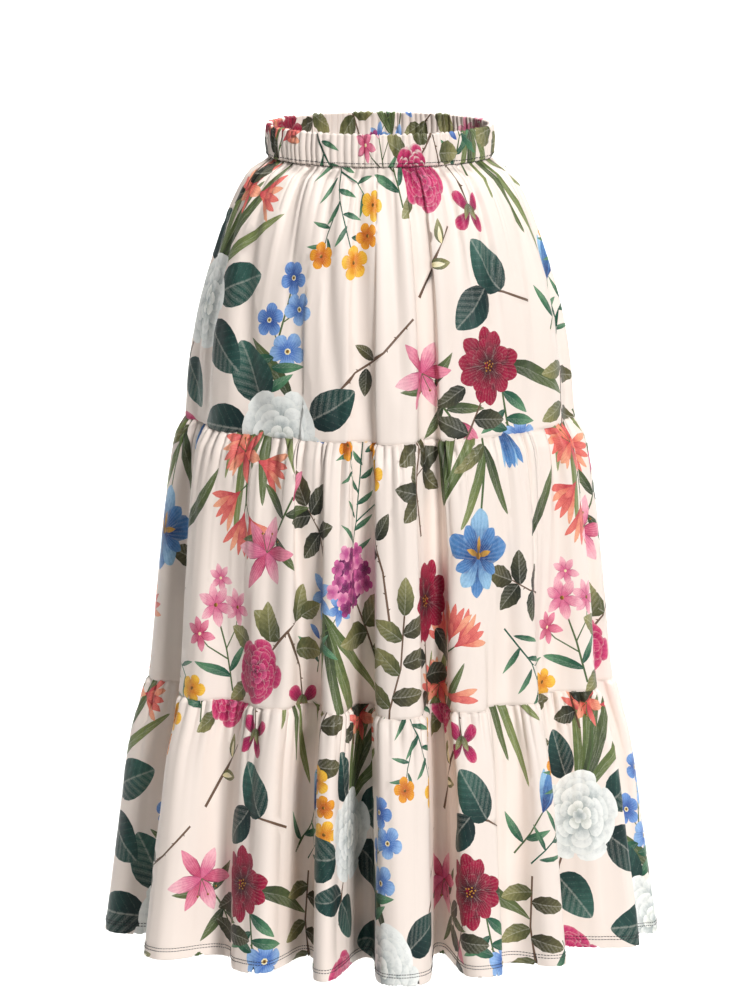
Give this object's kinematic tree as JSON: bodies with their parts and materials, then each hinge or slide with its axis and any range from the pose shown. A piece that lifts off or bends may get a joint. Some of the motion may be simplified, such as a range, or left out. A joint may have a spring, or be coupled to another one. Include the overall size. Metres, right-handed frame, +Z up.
{
  "type": "maxi skirt",
  "caption": "Pull-on maxi skirt with a shirred elastic waistband and gathered tiers that fall in deep soft folds, filled out and open at waist and hem.",
  "frame": {"origin": "middle of the waistband, at its mid-height, where the wearer's waist holds the skirt", "axes": "+Z up out of the waist, the front faces -Y, +X is the viewer's right when looking at the front"},
  "size_m": [0.6182, 0.4327, 0.907],
  "materials": {
    "printed_cloth": "soft satin-matte woven cloth, cream ground with a botanical flower print",
    "dark_thread": "matt dark sewing thread"
  },
  "bodies": {
    "root": {"waistband": "printed_cloth", "tier1_front": "printed_cloth", "tier1_back": "printed_cloth", "tier2_front": "printed_cloth", "tier2_back": "printed_cloth", "tier3_front": "printed_cloth", "tier3_back": "printed_cloth"}
  },
  "joints": []
}
